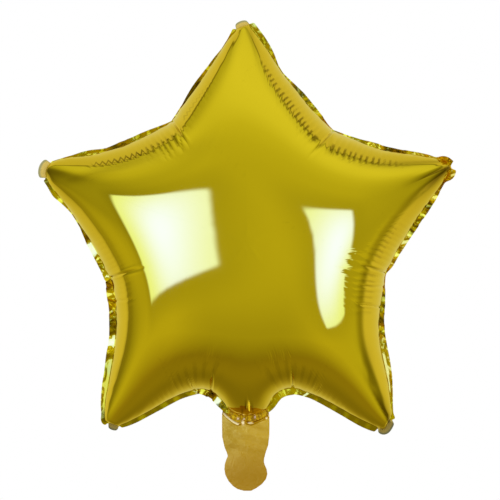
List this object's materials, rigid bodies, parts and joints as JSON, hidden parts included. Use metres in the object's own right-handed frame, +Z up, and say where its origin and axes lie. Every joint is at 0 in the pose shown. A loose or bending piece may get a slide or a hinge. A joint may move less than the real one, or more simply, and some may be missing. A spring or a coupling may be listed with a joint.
{
  "type": "star foil balloon",
  "caption": "Inflated five-pointed star balloon of metallised gold film, with a ruffled heat-sealed rim, gathered notches and a flat filling tail.",
  "frame": {"origin": "middle of the tail's waist, where the ribbon is tied", "axes": "+Z up from the tie to the top point, +X to the right of the front, -Y out of the front film"},
  "size_m": [0.4254, 0.17, 0.4722],
  "materials": {
    "gold_film": "polished"
  },
  "bodies": {
    "root": {"star_balloon": "gold_film"}
  },
  "joints": []
}
